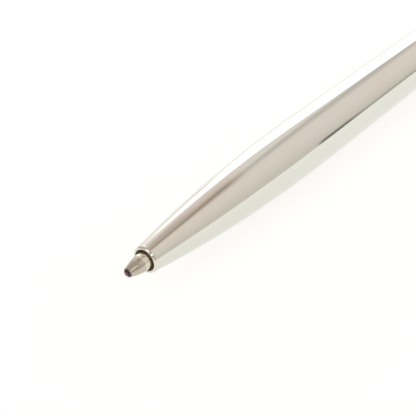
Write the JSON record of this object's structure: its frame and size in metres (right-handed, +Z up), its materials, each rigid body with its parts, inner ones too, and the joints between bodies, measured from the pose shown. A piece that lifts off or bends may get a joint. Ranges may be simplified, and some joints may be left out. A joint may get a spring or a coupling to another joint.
{
  "type": "rollerball pen",
  "caption": "Slim twist-action rollerball pen in polished silver, with a curved nose, a sprung pocket clip and a screw-in refill that draws back into the barrel.",
  "frame": {"origin": "centre of the bounding box's underside, on the surface that the pen lies on, with its point drawn out", "axes": "+X along the pen from its point to its crown, +Z up; the clip is on the -Y side and its lower edge touches the surface"},
  "size_m": [0.1378, 0.0106, 0.0084],
  "materials": {
    "polished_silver": "polished, clear lacquered silver plate",
    "crown_silver": "polished silver plate",
    "clip_silver": "polished silver plate on spring steel",
    "brass_mechanism": "turned, bare",
    "nickel_point": "turned nickel silver",
    "tungsten_ball": "lapped tungsten carbide",
    "spring_steel": "drawn wire and strip",
    "washer_plastic": "natural acetal",
    "ring_rubber": "nitrile rubber",
    "washer_black": "black nylon",
    "refill_steel": "nickel-plated refill tube",
    "plug_plastic": "moulded",
    "ink": "liquid",
    "grease": "clear grease"
  },
  "bodies": {
    "lower_body": {"lower_barrel": "polished_silver", "nose_ring": "polished_silver", "thread_bush": "brass_mechanism", "guide_tube": "brass_mechanism", "centre_ring": "polished_silver", "front_thrust_washer": "washer_plastic", "rear_thrust_washer": "washer_plastic", "retaining_ring": "spring_steel", "drag_ring": "ring_rubber"},
    "upper_body": {"upper_barrel": "polished_silver", "cam_sleeve": "brass_mechanism", "top_plug": "brass_mechanism", "crown_washer": "washer_black", "crown": "crown_silver", "clip_collar": "clip_silver", "clip_pin": "spring_steel", "clip_spring": "spring_steel"},
    "clip": {"clip_arm": "clip_silver"},
    "refill": {"carrier": "brass_mechanism", "drive_pin": "spring_steel", "refill_tube": "refill_steel", "point_socket": "nickel_point", "ball_spring": "spring_steel", "refill_plug": "plug_plastic", "ink_column": "ink", "ink_follower": "grease"},
    "ball": {"writing_ball": "tungsten_ball"}
  },
  "joints": [
    {"name": "upper_twist", "type": "hinge", "parent": "lower_body", "child": "upper_body", "pos_m": [0.03442, 0.00104, 0.00422], "axis": [-1, 0, 0], "range_deg": [0, 180]},
    {"name": "refill_slide", "type": "slide", "parent": "lower_body", "child": "refill", "axis": [1, 0, 0], "range_m": [0, 0.0046]},
    {"name": "clip_lift", "type": "hinge", "parent": "upper_body", "child": "clip", "pos_m": [0.06283, -0.00364, 0.00192], "axis": [0, -0.4409, 0.8975], "range_deg": [0, 5], "stiffness_Nm_per_rad": 0.8, "deforming": ["clip_spring"]},
    {"name": "ball_roll", "type": "hinge", "parent": "refill", "child": "ball", "pos_m": [-0.06842, 0.00104, 0.00422], "axis": [0, 1, 0], "continuous": true}
  ],
  "couplings": [
    {"joint": "upper_twist", "follows": "refill_slide", "rad_per_m": 682.95}
  ]
}
